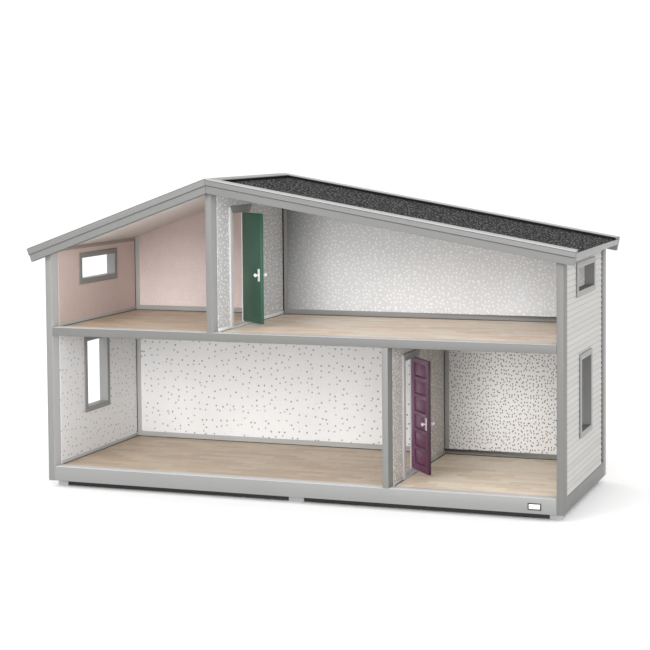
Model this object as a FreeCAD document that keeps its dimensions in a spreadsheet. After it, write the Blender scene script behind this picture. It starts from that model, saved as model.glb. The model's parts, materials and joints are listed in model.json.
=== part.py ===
import FreeCAD, Part
import math
import os
import re
import Sketcher

# Open-front wooden dollhouse, two storeys and four rooms, about 1:18.
# Millimetres, +Z up, +X to the right of the open front, +Y towards the back.
# Origin: bottom centre of the whole house, on the surface it stands on.
# House positions below are written from the left wall's outer face (x), the
# front of the walls (y) and the floor it stands on (z); centre_x and centre_y
# move them to the origin.

SIZES = {
    # overall
    "house_width": 630.0, "centre_x": 312.5, "centre_y": 118.5,
    "wall_depth": 223.0, "room_depth": 225.0, "back_outer": 237.0,
    # panels
    "wall_thick": 8.0, "bare_strip": 17.0, "partition_thick": 7.0, "back_thick": 6.0,
    "paper_thick": 0.5, "oak_thick": 1.0,
    # base
    "rail_low": 8.0, "rail_top": 25.2, "deck_low": 15.6, "deck_top": 23.6, "ground_z": 24.6,
    "foot_inset": 5.5, "foot_wide": 13.2, "foot_front": 13.6, "foot_rear": 218.5,
    "plinth_low": 0.8, "mid_foot_x": 305.1, "mid_foot_wide": 18.8, "side_low": 26.3,
    # middle floor
    "mid_low": 183.7, "mid_top": 191.5, "upper_z": 192.5, "mid_lip": 193.5,
    # partitions, at their left faces
    "low_part_x": 423.7, "up_part_x": 210.4,
    # roof, from the ridge line down each slope
    "ridge_x": 214.0, "ridge_z": 372.6, "slope_left": 19.85, "slope_right": 10.04,
    "length_left": 249.2, "length_right": 438.1, "cover_sink": 3.6, "cover_thick": 1.0,
    "roof_thick": 5.0, "barge_thick": 8.4, "barge_flange": 8.8, "barge_upper": 8.2,
    "barge_high": 16.8, "barge_step": 1.4, "cap_wide": 11.0, "eave_thick": 1.6,
    # siding
    "siding_rebate": 1.5, "siding_end": 208.6, "lap_pitch": 6.5, "lap_plate": 1.0,
    "lap_proud": 0.8, "gap_deep": 5.0,
    # windows: front edge and size of the clear hole
    "win_left_y": 75.0, "win_right_y": 70.0, "up_win_z": 245.5, "up_win_wide": 88.0,
    "up_win_high": 26.0, "low_win_left_y": 85.0, "low_win_right_y": 87.0, "low_win_z": 84.8,
    "low_win_wide": 53.0, "low_win_high": 82.0, "liner": 1.5, "trim_wide": 6.5, "trim_proud": 1.6,
    # doorways and doors
    "door_y": 59.5, "door_wide": 52.5, "door_high": 134.0, "up_sill": 195.3, "low_sill": 27.4,
    "door_trim": 8.0, "door_proud": 1.8, "axis_y": 109.2, "axis_in": 2.6, "leaf_wide": 50.9,
    "leaf_back": 1.8, "leaf_high": 132.0, "leaf_thick": 3.5, "leaf_lift": 1.0,
    "pin_radius": 1.0, "pin_slack": 0.06, "pin_deep": 3.0, "up_open": 48.0, "low_open": 39.5, "pin_foot": 2.0,
    "handle_y": -43.9, "handle_z": 58.6, "plate_wide": 4.6, "plate_high": 15.0, "plate_thick": 0.9,
    "stem_radius": 1.0, "stem_long": 2.4, "knob_radius": 2.3,
    # trims and badge
    "base_high": 6.5, "frame_wide": 6.0, "frame_proud": 1.2, "skirt_high": 4.5, "skirt_proud": 1.0,
    "badge_x": 590.0, "badge_z": 12.2, "badge_wide": 15.0, "badge_high": 7.6, "badge_thick": 0.6,
    "screw_radius": 2.4, "screw_proud": 0.9,
}

doc = FreeCAD.newDocument("dollhouse")
sheet = doc.addObject("Spreadsheet::Sheet", "Dims")
for row, (alias, value) in enumerate(SIZES.items(), 1):
    sheet.set("A%d" % row, alias)
    sheet.set("B%d" % row, str(value))
    sheet.setAlias("B%d" % row, alias)
doc.recompute()

NODES = []


def q(expr):
    """An expression with each size named through the sheet."""
    return re.sub(r"[a-z]+_[a-z_]+|liner", lambda m: "Dims." + m.group(0) if m.group(0) in SIZES else m.group(0), str(expr))


def node(obj, label):
    obj.Label = label
    NODES.append(obj)
    return obj


def place(obj, x, y, z):
    obj.setExpression("Placement.Base.x", q("(%s) - centre_x" % x))
    obj.setExpression("Placement.Base.y", q("(%s) - centre_y" % y))
    obj.setExpression("Placement.Base.z", q(z))


def box(name, x0, x1, y0, y1, z0, z1):
    """A box between two house positions on each axis."""
    o = doc.addObject("Part::Box", name)
    o.setExpression("Length", q("(%s) - (%s)" % (x1, x0)))
    o.setExpression("Width", q("(%s) - (%s)" % (y1, y0)))
    o.setExpression("Height", q("(%s) - (%s)" % (z1, z0)))
    place(o, x0, y0, z0)
    return o


def cylinder(name, x, y, z, radius, high, turn=None):
    o = doc.addObject("Part::Cylinder", name)
    o.setExpression("Radius", q(radius))
    o.setExpression("Height", q(high))
    if turn:
        o.Placement.Rotation = FreeCAD.Rotation(FreeCAD.Vector(*turn[:3]), turn[3])
    place(o, x, y, z)
    return o


def cut(name, base, *tools):
    """base less each tool in turn."""
    for i, tool in enumerate(tools):
        o = doc.addObject("Part::Cut", name if i == len(tools) - 1 else "%s_c%d" % (name, i))
        o.Base, o.Tool = base, tool
        base = o
    return base


def join(name, *shapes):
    o = doc.addObject("Part::MultiFuse", name)
    o.Shapes = list(shapes)
    return o


def group(name, *shapes):
    """Separate solids that share one name."""
    o = doc.addObject("Part::Compound", name)
    o.Links = list(shapes)
    return o


def slab(name, side, start, end, low, high, y0, y1):
    """A layer of one roof slope, from start to end down the slope and between two heights above its top plane, mitred at the ridge."""
    left = side == "left"
    a = "(slope_%s * 1deg)" % side
    o = doc.addObject("Part::Box", name + "_raw")
    reach = "(%s + 0)" % start if start != "0" else "(0 - 12)"
    o.setExpression("Length", q("(%s) - %s" % (end, reach)))
    o.setExpression("Width", q("(%s) - (%s)" % (y1, y0)))
    o.setExpression("Height", q("(%s) - (%s)" % (high, low)))
    o.Placement.Rotation = FreeCAD.Rotation(FreeCAD.Vector(0, 1, 0), 1)
    o.setExpression("Placement.Rotation.Angle", q("%d * slope_%s" % (-1 if left else 1, side)))
    if left:
        x = "ridge_x - (%s) * cos(%s) - (%s) * sin(%s)" % (end, a, low, a)
        z = "ridge_z - (%s) * sin(%s) + (%s) * cos(%s)" % (end, a, low, a)
    else:
        x = "ridge_x + (%s) * cos(%s) + (%s) * sin(%s)" % (reach, a, low, a)
        z = "ridge_z - (%s) * sin(%s) + (%s) * cos(%s)" % (reach, a, low, a)
    place(o, x, y0, z)
    return cut(name, o, beyond_right if left else beyond_left) if start == "0" else o


# Half spaces each side of the ridge plane
beyond_left = box("beyond_left", "ridge_x - 400", "ridge_x", "0 - 60", "300", "0", "500")
beyond_right = box("beyond_right", "ridge_x", "ridge_x + 600", "0 - 60", "300", "0", "500")

# Everything above the roof panels' undersides, to trim what meets them
ROOF_LOW = "0 - cover_sink - cover_thick - roof_thick"
above_left = slab("above_left", "left", "0", "length_left + 60", ROOF_LOW, "120", "0 - 60", "300")
above_right = slab("above_right", "right", "0", "length_right + 60", ROOF_LOW, "120", "0 - 60", "300")

R = "house_width - wall_thick"  # inner face of the right wall

# Base: rails, deck, joist, runners and the dark strips set back between the runners
node(box("front_rail", "wall_thick", R, "0", "bare_strip", "rail_low", "rail_top"), "base_front_rail")
node(box("rear_rail", "wall_thick", R, "wall_depth - 17", "wall_depth", "rail_low", "deck_low"), "base_rear_rail")
node(box("deck", "wall_thick", R, "bare_strip", "room_depth", "deck_low", "deck_top"), "ground_floor_deck")
node(box("joist", "mid_foot_x + 4", "mid_foot_x + mid_foot_wide - 4", "bare_strip", "wall_depth - 17", "rail_low", "deck_low"), "deck_joist")
for name, x0, x1 in (
    ("left", "foot_inset", "foot_inset + foot_wide"),
    ("middle", "mid_foot_x", "mid_foot_x + mid_foot_wide"),
    ("right", "house_width - foot_inset - foot_wide", "house_width - foot_inset"),
):
    node(box("runner_" + name, x0, x1, "foot_front", "foot_rear", "0", "rail_low"), "base_runner_" + name)
for name, x0, x1 in (
    ("left", "foot_inset + foot_wide", "mid_foot_x"),
    ("right", "mid_foot_x + mid_foot_wide", "house_width - foot_inset - foot_wide"),
):
    node(box("plinth_" + name, x0, x1, "foot_front + 0.6", "foot_front + 2.8", "plinth_low", "rail_low"), "plinth_strip_" + name)
node(box("badge", "badge_x", "badge_x + badge_wide", "0 - badge_thick", "0", "badge_z", "badge_z + badge_high"), "badge_plate")

# Middle floor with its raised front lip
mid = join("mid_solid",
           box("mid_board", "wall_thick", R, "0", "room_depth", "mid_low", "mid_top"),
           box("mid_lip_bar", "wall_thick", R, "0", "bare_strip", "mid_low", "mid_lip"))
node(mid, "mid_floor_panel")

# Side walls: bare front strip, rebate for the siding, deep groove behind it
WINDOWS = {
    "left_upper": ("win_left_y", "up_win_z", "up_win_wide", "up_win_high"),
    "left_lower": ("low_win_left_y", "low_win_z", "low_win_wide", "low_win_high"),
    "right_upper": ("win_right_y", "up_win_z", "up_win_wide", "up_win_high"),
    "right_lower": ("low_win_right_y", "low_win_z", "low_win_wide", "low_win_high"),
}


def window_hole(name, grow, x0, x1):
    y, z, wide, high = WINDOWS[name]
    return box("hole_%s_%s" % (name, re.sub(r"\W", "", grow + x0)), x0, x1, "%s - %s" % (y, grow), "%s + %s + %s" % (y, wide, grow),
               "%s - %s" % (z, grow), "%s + %s + %s" % (z, high, grow))


SPAN = {"left": ("0 - 30", "30"), "right": ("house_width - 30", "house_width + 30")}
for side in ("left", "right"):
    left = side == "left"
    outer = (lambda d: d) if left else (lambda d: "house_width - (%s)" % d)
    lo, hi = (("0", "wall_thick") if left else (R, "house_width"))
    panel = box("wall_%s_board" % side, lo, hi, "0", "wall_depth", "rail_low", "ridge_z")
    reb = (("0 - 1", outer("siding_rebate")) if left else (outer("siding_rebate"), "house_width + 1"))
    gap = (("0 - 1", outer("gap_deep")) if left else (outer("gap_deep"), "house_width + 1"))
    node(cut("wall_" + side, panel,
             box("rebate_" + side, reb[0], reb[1], "bare_strip", "siding_end", "side_low", "ridge_z + 1"),
             box("groove_" + side, gap[0], gap[1], "siding_end", "wall_depth + 1", "side_low", "ridge_z + 1"),
             window_hole(side + "_upper", "liner", *SPAN[side]), window_hole(side + "_lower", "liner", *SPAN[side]),
             above_left if left else above_right), "wall_panel_" + side)

# Rear corner battens and the two back boards
for side, x0, x1 in (("left", "0", "wall_thick"), ("right", R, "house_width")):
    node(cut("batten_" + side, box("batten_%s_bar" % side, x0, x1, "wall_depth", "back_outer", "rail_low", "ridge_z"),
             above_left if side == "left" else above_right), "back_batten_" + side)
node(box("back_lower", "wall_thick", R, "room_depth", "room_depth + back_thick", "rail_low", "mid_low + 4"), "back_panel_lower")
node(cut("back_upper", box("back_upper_board", "wall_thick", R, "room_depth", "room_depth + back_thick", "mid_low + 4", "ridge_z"),
         above_left, above_right), "back_panel_upper")


# Partitions with their doorways
def doorway(name, part_x, sill, floor, grow):
    return box("doorway_" + name, "%s - 20" % part_x, "%s + 30" % part_x, "door_y - %s" % grow, "door_y + door_wide + %s" % grow,
               floor, "%s + door_high + %s" % (sill, grow))


DOORS = {
    "lower": ("low_part_x", "low_sill", "ground_z", "deck_top", "rail_top", "mid_low", "low_open"),
    "upper": ("up_part_x", "up_sill", "upper_z", "mid_top", "mid_lip", "ridge_z", "up_open"),
}
for name, (px, sill, floor, bottom, lip, top, _) in DOORS.items():
    board = box("partition_%s_board" % name, px, px + " + partition_thick", "0", "room_depth", bottom, top)
    tools = [box("heel_" + name, px + " - 1", px + " + partition_thick + 1", "0 - 1", "bare_strip", bottom + " - 1", lip),
             doorway(name + "_wall", px, sill, floor, "liner")]
    if name == "upper":
        tools += [above_left, above_right]
    node(cut("partition_" + name, board, *tools), "partition_" + name)

# Oak floor sheets
BACK = "room_depth - paper_thick"
for name, x0, x1, z in (
    ("lower_left", "wall_thick", "low_part_x", "deck_top"),
    ("lower_right", "low_part_x + partition_thick", R, "deck_top"),
    ("upper_left", "wall_thick", "up_part_x", "mid_top"),
    ("upper_right", "up_part_x + partition_thick", R, "mid_top"),
):
    node(box("oak_" + name, x0, x1, "bare_strip", "room_depth", z, z + " + oak_thick"), "oak_floor_" + name)

# Wallpaper sheets: one node for each room's back, one for its two sides
ROOMS = {
    "lower_left": ("wall_thick", "low_part_x", "ground_z", "mid_low"),
    "lower_right": ("low_part_x + partition_thick", R, "ground_z", "mid_low"),
    "upper_left": ("wall_thick", "up_part_x", "upper_z", "ridge_z"),
    "upper_right": ("up_part_x + partition_thick", R, "upper_z", "ridge_z"),
}
for name, (x0, x1, z0, z1) in ROOMS.items():
    level, hand = name.split("_")
    roof = [above_left if hand == "left" else above_right] if level == "upper" else []
    back = box("paper_back_raw_" + name, x0, x1, BACK, "room_depth", z0, z1)
    node(cut("paper_back_" + name, back, *roof) if roof else back, "wallpaper_back_" + name)
    wall = level + "_wall"
    px, sill, floor = DOORS[level][:3]
    door = doorway(name + "_paper", px, sill, floor, "liner")
    hole = window_hole("%s_%s" % (hand, level), "(liner + 0)", *SPAN[hand])
    first = box("paper_a_" + name, x0, x0 + " + paper_thick", "bare_strip", BACK, z0, z1)
    last = box("paper_b_" + name, x1 + " - paper_thick", x1, "bare_strip", BACK, z0, z1)
    first = cut("paper_a_cut_" + name, first, hole if hand == "left" else door, *roof)
    last = cut("paper_b_cut_" + name, last, door if hand == "left" else hole, *roof)
    node(group("paper_sides_" + name, first, last), "wallpaper_sides_" + name)

# Trim strips round each back wall, and skirting along the side walls
FRONT = "(room_depth - paper_thick)"
for level in ("lower", "upper"):
    strips = []
    for name, (x0, x1, z0, z1) in ROOMS.items():
        if not name.startswith(level):
            continue
        a, b = "(%s) + paper_thick" % x0, "(%s) - paper_thick" % x1
        strips.append(box("trim_base_" + name, a, b, FRONT + " - frame_proud", FRONT, z0, z0 + " + base_high"))
        for end, p0, p1 in (("near", a, a + " + frame_wide"), ("far", b + " - frame_wide", b)):
            bar = box("trim_%s_%s" % (end, name), p0, p1, FRONT + " - frame_proud", FRONT, z0 + " + base_high", z1)
            strips.append(cut("trim_%s_cut_%s" % (end, name), bar, above_left if name.endswith("left") else above_right) if level == "upper" else bar)
    node(group("trim_" + level, *strips), "back_trim_" + level)
skirts = []
for name, (x0, x1, z0, z1) in ROOMS.items():
    level, hand = name.split("_")
    end = FRONT + " - frame_proud"
    a, b = "(%s) + paper_thick" % x0, "(%s) - paper_thick" % x1
    for side, p0, p1 in (("a", a, a + " + skirt_proud"), ("b", b + " - skirt_proud", b)):
        wall_side = (side == "a") == (hand == "left")
        spans = [("bare_strip", end)] if wall_side else [("bare_strip", "door_y - door_trim"), ("door_y + door_wide + door_trim", end)]
        for i, (y0, y1) in enumerate(spans):
            skirts.append(box("skirt_%s_%s%d" % (name, side, i), p0, p1, y0, y1, z0, z0 + " + skirt_high"))
node(group("skirts", *skirts), "side_skirting")


# Lapped siding boards, one sheet for each side wall
def rectangle(body, plane, name, x0, x1, y0, y1, sketch=None):
    """A rectangle between four named, bound positions in a sketch on one of the body's own planes."""
    if sketch is None:
        sketch = body.newObject("Sketcher::SketchObject", name)
        sketch.AttachmentSupport = [(next(f for f in body.Origin.OriginFeatures if f.Role == plane), "")]
        sketch.MapMode = "FlatFace"
    n = sketch.GeometryCount
    V = FreeCAD.Vector
    pts = [V(1, 1, 0), V(2, 1, 0), V(2, 2, 0), V(1, 2, 0)]
    for i in range(4):
        sketch.addGeometry(Part.LineSegment(pts[i], pts[(i + 1) % 4]), False)
    for i in range(4):
        sketch.addConstraint(Sketcher.Constraint("Coincident", n + i, 2, n + (i + 1) % 4, 1))
    for i in range(4):
        sketch.addConstraint(Sketcher.Constraint("Horizontal" if i % 2 == 0 else "Vertical", n + i))
    for tag, kind, at, expr in (("xa", "DistanceX", 0, x0), ("ya", "DistanceY", 0, y0), ("xb", "DistanceX", 2, x1), ("yb", "DistanceY", 2, y1)):
        label = "%s%s%d" % (name, tag, n)
        c = sketch.addConstraint(Sketcher.Constraint(kind, -1, 1, n + at, 1, 1.0))
        sketch.renameConstraint(c, label)
        sketch.setExpression("Constraints." + label, q(expr))
    return sketch


def pad(body, kind, name, sketch, length, reverse=False, midplane=False):
    f = body.newObject("PartDesign::" + kind, name)
    f.Profile = sketch
    if length:
        f.setExpression("Length", q(length))
    f.Reversed = reverse
    if midplane:
        f.Midplane = True
    return f


LAP_COUNT = 41
for side in ("left", "right"):
    left = side == "left"
    body = doc.addObject("PartDesign::Body", "laps_" + side)
    deep = "siding_end - bare_strip"
    top = "%d * lap_pitch" % LAP_COUNT
    plate = rectangle(body, "YZ_Plane", "plate", "0", deep, "0", top)
    pad(body, "Pad", "plate_pad", plate, "lap_plate")
    lap = body.newObject("Sketcher::SketchObject", "lap")
    lap.AttachmentSupport = [(next(f for f in body.Origin.OriginFeatures if f.Role == "XZ_Plane"), "")]
    lap.MapMode = "FlatFace"
    V = FreeCAD.Vector
    P = [V(0.5, 0, 0), V(1.8, 0, 0), V(1.0, 6.5, 0), V(0.5, 6.5, 0)]
    for i in range(4):
        lap.addGeometry(Part.LineSegment(P[i], P[(i + 1) % 4]), False)
    for i in range(4):
        lap.addConstraint(Sketcher.Constraint("Coincident", i, 2, (i + 1) % 4, 1))
    lap.addConstraint(Sketcher.Constraint("PointOnObject", 0, 1, -1))
    lap.addConstraint(Sketcher.Constraint("Horizontal", 0))
    lap.addConstraint(Sketcher.Constraint("Horizontal", 2))
    lap.addConstraint(Sketcher.Constraint("Vertical", 3))
    for tag, kind, at, expr in (("inner", "DistanceX", 0, "lap_plate / 2"), ("outer", "DistanceX", 1, "lap_plate + lap_proud"),
                                ("upper", "DistanceX", 2, "lap_plate"), ("rise", "DistanceY", 2, "lap_pitch")):
        c = lap.addConstraint(Sketcher.Constraint(kind, -1, 1, at, 1, 1.0))
        lap.renameConstraint(c, tag)
        lap.setExpression("Constraints." + tag, q(expr))
    board = pad(body, "Pad", "board", lap, deep, reverse=True)
    doc.recompute()
    rows = body.newObject("PartDesign::LinearPattern", "rows")
    rows.Originals = [board]
    rows.Direction = (next(f for f in body.Origin.OriginFeatures if f.Role == "Z_Axis"), [""])
    rows.setExpression("Length", q("%d * lap_pitch" % (LAP_COUNT - 1)))
    rows.Occurrences = LAP_COUNT
    body.Tip = rows
    doc.recompute()
    holes = None
    for w in ("upper", "lower"):
        y, z, wide, high = WINDOWS["%s_%s" % (side, w)]
        if left:  # turned half round, so y runs from the siding's rear edge
            y0, y1 = "siding_end - (%s) - (%s) - liner" % (y, wide), "siding_end - (%s) + liner" % y
        else:
            y0, y1 = "(%s) - liner - bare_strip" % y, "(%s) + (%s) + liner - bare_strip" % (y, wide)
        holes = rectangle(body, "YZ_Plane", "holes", y0, y1, "%s - liner - side_low" % z, "%s + %s + liner - side_low" % (z, high), holes)
    pad(body, "Pocket", "window_cut", holes, "20", midplane=True)
    if left:
        body.Placement.Rotation = FreeCAD.Rotation(FreeCAD.Vector(0, 0, 1), 180)
        place(body, "siding_rebate", "siding_end", "side_low")
    else:
        place(body, "house_width - siding_rebate", "bare_strip", "side_low")
    doc.recompute()
    node(cut("siding_trimmed_" + side, body, above_left if left else above_right), "siding_" + side)

# Window frames: outer trim, liner through the wall, inner trim
for name, (y, z, wide, high) in WINDOWS.items():
    left = name.startswith("left")
    grow = "trim_wide"
    o0, o1 = ("0 - 0.3 - trim_proud", "0 - 0.3") if left else ("house_width + 0.3", "house_width + 0.3 + trim_proud")
    i0, i1 = ("wall_thick + paper_thick", "wall_thick + paper_thick + trim_proud") if left else (R + " - paper_thick - trim_proud", R + " - paper_thick")
    l0, l1 = (o1, i0) if left else (i1, o0)
    ring = []
    for tag, p0, p1, g in (("out", o0, o1, grow), ("in", i0, i1, grow), ("liner", l0, l1, "liner")):
        ring.append(box("%s_%s" % (tag, name), p0, p1, "%s - %s" % (y, g), "%s + %s + %s" % (y, wide, g), "%s - %s" % (z, g), "%s + %s + %s" % (z, high, g)))
    clear = window_hole(name, "0", *SPAN["left" if left else "right"])
    node(cut("window_" + name, join("window_solid_" + name, *ring), clear), "window_frame_" + name)

# Door frames: trims on both faces, lining and raised sill, with the pin holes
for name, (px, sill, floor, bottom, lip, top, opened) in DOORS.items():
    a, b = px + " - paper_thick", px + " + partition_thick + paper_thick"
    trim_y = ("door_y - door_trim", "door_y + door_wide + door_trim")
    head = sill + " + door_high + door_trim"
    solid = join("door_frame_solid_" + name,
                 box("door_trim_a_" + name, a + " - door_proud", a, trim_y[0], trim_y[1], floor, head),
                 box("door_trim_b_" + name, b, b + " + door_proud", trim_y[0], trim_y[1], floor, head),
                 box("door_lining_" + name, a, b, "door_y - liner", "door_y + door_wide + liner", floor, sill + " + door_high + liner"))
    clear = box("door_clear_" + name, px + " - 20", px + " + 30", "door_y", "door_y + door_wide", sill, sill + " + door_high")
    axis_x = px + " + axis_in"
    holes = [cylinder("pin_hole_low_" + name, axis_x, "axis_y", sill + " - pin_foot", "pin_radius", "pin_foot + 0.5"),
             cylinder("pin_hole_top_" + name, axis_x, "axis_y", sill + " + door_high - 0.5", "pin_radius", "1.7")]
    node(cut("door_frame_" + name, solid, clear, *holes), "door_frame_" + name)
    leaf_z = sill + " + leaf_lift"
    node(group("pins_" + name,
               cylinder("pin_low_" + name, axis_x, "axis_y", sill + " - pin_foot", "pin_radius", "pin_foot + leaf_lift + pin_deep - 0.4"),
               cylinder("pin_top_" + name, axis_x, "axis_y", leaf_z + " + leaf_high - pin_deep + 0.4", "pin_radius",
                        "pin_deep - 0.4 + door_high - leaf_lift - leaf_high + 1.2")), "hinge_pins_" + name)

    # Leaf, drawn closed about its pivot, then swung open on it
    body = doc.addObject("PartDesign::Body", "leaf_" + name)
    outline = rectangle(body, "XY_Plane", "outline", "0 - leaf_thick / 2", "leaf_thick / 2", "leaf_back - leaf_wide", "leaf_back")
    pad(body, "Pad", "leaf_pad", outline, "leaf_high")
    doc.recompute()
    for end in ("low", "top"):
        ring = body.newObject("Sketcher::SketchObject", "bore_" + end)
        ring.AttachmentSupport = [(next(f for f in body.Origin.OriginFeatures if f.Role == "XY_Plane"), "")]
        ring.MapMode = "FlatFace"
        if end == "top":
            ring.setExpression("AttachmentOffset.Base.z", q("leaf_high"))
        ring.addGeometry(Part.Circle(FreeCAD.Vector(0, 0, 0), FreeCAD.Vector(0, 0, 1), 1.06), False)
        ring.addConstraint(Sketcher.Constraint("Coincident", 0, 3, -1, 1))
        c = ring.addConstraint(Sketcher.Constraint("Radius", 0, 1.06))
        ring.renameConstraint(c, "bore")
        ring.setExpression("Constraints.bore", q("pin_radius + pin_slack"))
        pad(body, "Pocket", "bore_cut_" + end, ring, "pin_deep", reverse=(end == "low"))
    doc.recompute()
    if name == "lower":  # six sunk panels on each face
        for face, sign in (("front", 1), ("rear", -1)):
            recess = rectangle(body, "YZ_Plane", "panel_" + face, "leaf_back - leaf_wide + 7", "leaf_back - 9", "7.5", "7.5 + 16.6")
            recess.AttachmentOffset = FreeCAD.Placement(FreeCAD.Vector(0, 0, sign * SIZES["leaf_thick"] / 2), FreeCAD.Rotation())
            recess.setExpression("AttachmentOffset.Base.z", q("%d * leaf_thick / 2" % sign))
            p = pad(body, "Pocket", "panel_cut_" + face, recess, "0.7", reverse=(sign < 0))
            doc.recompute()
            rows = body.newObject("PartDesign::LinearPattern", "panels_" + face)
            rows.Originals = [p]
            rows.Direction = (next(f for f in body.Origin.OriginFeatures if f.Role == "Z_Axis"), [""])
            rows.Length = 5 * 20.6
            rows.Occurrences = 6
            body.Tip = rows
            doc.recompute()
    body.Placement.Rotation = FreeCAD.Rotation(FreeCAD.Vector(0, 0, 1), 1)
    body.setExpression("Placement.Rotation.Angle", q(opened))
    place(body, axis_x, "axis_y", leaf_z)
    node(body, "door_leaf_" + name)

    # Handles: plate, stem and round knob on both faces
    sides = []
    for tag, sign in (("a", 1), ("b", -1)):
        plate = doc.addObject("Part::Box", "plate_%s_%s" % (tag, name))
        plate.setExpression("Length", q("plate_thick"))
        plate.setExpression("Width", q("plate_wide"))
        plate.setExpression("Height", q("plate_high"))
        plate.setExpression("Placement.Base.x", q("leaf_thick / 2" if sign > 0 else "0 - leaf_thick / 2 - plate_thick"))
        plate.setExpression("Placement.Base.y", q("handle_y - plate_wide / 2"))
        plate.setExpression("Placement.Base.z", q("handle_z - plate_high / 2"))
        stem = doc.addObject("Part::Cylinder", "stem_%s_%s" % (tag, name))
        stem.setExpression("Radius", q("stem_radius"))
        stem.setExpression("Height", q("plate_thick + stem_long"))
        stem.Placement.Rotation = FreeCAD.Rotation(FreeCAD.Vector(0, 1, 0), 90 * sign)
        stem.setExpression("Placement.Base.x", q("%d * leaf_thick / 2" % sign))
        stem.setExpression("Placement.Base.y", q("handle_y"))
        stem.setExpression("Placement.Base.z", q("handle_z"))
        knob = doc.addObject("Part::Sphere", "knob_%s_%s" % (tag, name))
        knob.setExpression("Radius", q("knob_radius"))
        knob.Placement.Rotation = FreeCAD.Rotation(FreeCAD.Vector(0, 0, 1), 180 if sign < 0 else 0)  # its seam faces outwards
        knob.setExpression("Placement.Base.x", q("%d * (leaf_thick / 2 + plate_thick + stem_long + knob_radius - 0.6)" % sign))
        knob.setExpression("Placement.Base.y", q("handle_y"))
        knob.setExpression("Placement.Base.z", q("handle_z"))
        sides.append(join("handle_%s_%s" % (tag, name), plate, stem, knob))
    pair = group("handles_" + name, *sides)
    pair.Placement.Rotation = FreeCAD.Rotation(FreeCAD.Vector(0, 0, 1), 1)
    pair.setExpression("Placement.Rotation.Angle", q(opened))
    place(pair, axis_x, "axis_y", leaf_z)
    node(pair, "door_handles_" + name)

# Roof: panels, sunk covering, ridge cap, eave strips and stepped bargeboards
COVER_LOW = "0 - cover_sink - cover_thick"
for side in ("left", "right"):
    reach = "length_%s" % side
    inner = ("barge_flange", "back_outer - barge_flange")
    node(slab("roof_" + side, side, "0", reach + " - eave_thick", ROOF_LOW, COVER_LOW, "0", "back_outer"), "roof_panel_" + side)
    node(slab("cover_" + side, side, "0", reach + " - eave_thick", COVER_LOW, "0 - cover_sink", *inner), "roof_covering_" + side)
    node(slab("eave_" + side, side, reach + " - eave_thick", reach, ROOF_LOW, "0 - cover_sink + 0.4", "0", "back_outer"), "eave_strip_" + side)
    for end in ("front", "rear"):
        front = end == "front"
        faces = ("0 - barge_thick", "0") if front else ("back_outer", "back_outer + barge_thick")
        lower = ("0 - barge_thick + barge_step", "0") if front else ("back_outer", "back_outer + barge_thick - barge_step")
        flange = ("0", "barge_flange") if front else ("back_outer - barge_flange", "back_outer")
        tag = "%s_%s" % (end, side)
        node(join("barge_" + tag,
                  slab("barge_up_" + tag, side, "0", reach, "0 - barge_upper", "0", *faces),
                  slab("barge_low_" + tag, side, "0", reach, "0 - barge_high", "0 - barge_upper", *lower),
                  slab("barge_top_" + tag, side, "0", reach + " - eave_thick", COVER_LOW, "0", *flange)), "bargeboard_" + tag)
node(join("cap", *[slab("cap_" + s, s, "0", "cap_wide", "0 - cover_sink", "0", "barge_flange", "back_outer - barge_flange") for s in ("left", "right")]), "ridge_cap")

# Screw heads that hold the back boards
heads = []
for i, (x, z) in enumerate([(x, z) for z in (30, 178, 200) for x in (20, 160, 315, 470, 610)] + [(20, 276), (610, 274), (110, 300), (214, 340), (330, 330), (470, 306)]):
    heads.append(cylinder("head%d" % i, str(x), "room_depth + back_thick + screw_proud", str(z), "screw_radius", "screw_proud", (1, 0, 0, 90)))
node(group("heads", *heads), "back_screws")

doc.recompute()
bad = [o.Name for o in doc.Objects if "Invalid" in o.State or "Error" in o.State]
if bad:
    raise RuntimeError("failed objects: %s" % bad)
for o in NODES:
    if o.Shape.isNull() or not o.Shape.isValid() or not o.Shape.Solids:
        raise RuntimeError("bad shape: " + o.Label)
os.makedirs("parts", exist_ok=True)
for o in NODES:
    o.Shape.exportStep("parts/%s.step" % o.Label)
total = FreeCAD.BoundBox()
for o in NODES:
    total.add(o.Shape.BoundBox)
    b = o.Shape.BoundBox
    print("%-28s %d solids  x %.1f..%.1f  y %.1f..%.1f  z %.1f..%.1f  vol %.0f" % (o.Label, len(o.Shape.Solids), b.XMin, b.XMax, b.YMin, b.YMax, b.ZMin, b.ZMax, o.Shape.Volume))
print(len(NODES), "nodes; box x %.2f..%.2f y %.2f..%.2f z %.2f..%.2f" % (total.XMin, total.XMax, total.YMin, total.YMax, total.ZMin, total.ZMax))
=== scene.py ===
# %% [markdown]
# # A wooden dollhouse, open at the front
# The boards arrive from the CAD model in metres, each at its real size and place.
# This lesson eases their edges, adds the small pieces that CAD left plain, and
# gives every face its paint, paper or wood.

# %% Load the boards
import json
import math
import bmesh
import bpy
from mathutils import Matrix, Vector


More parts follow.
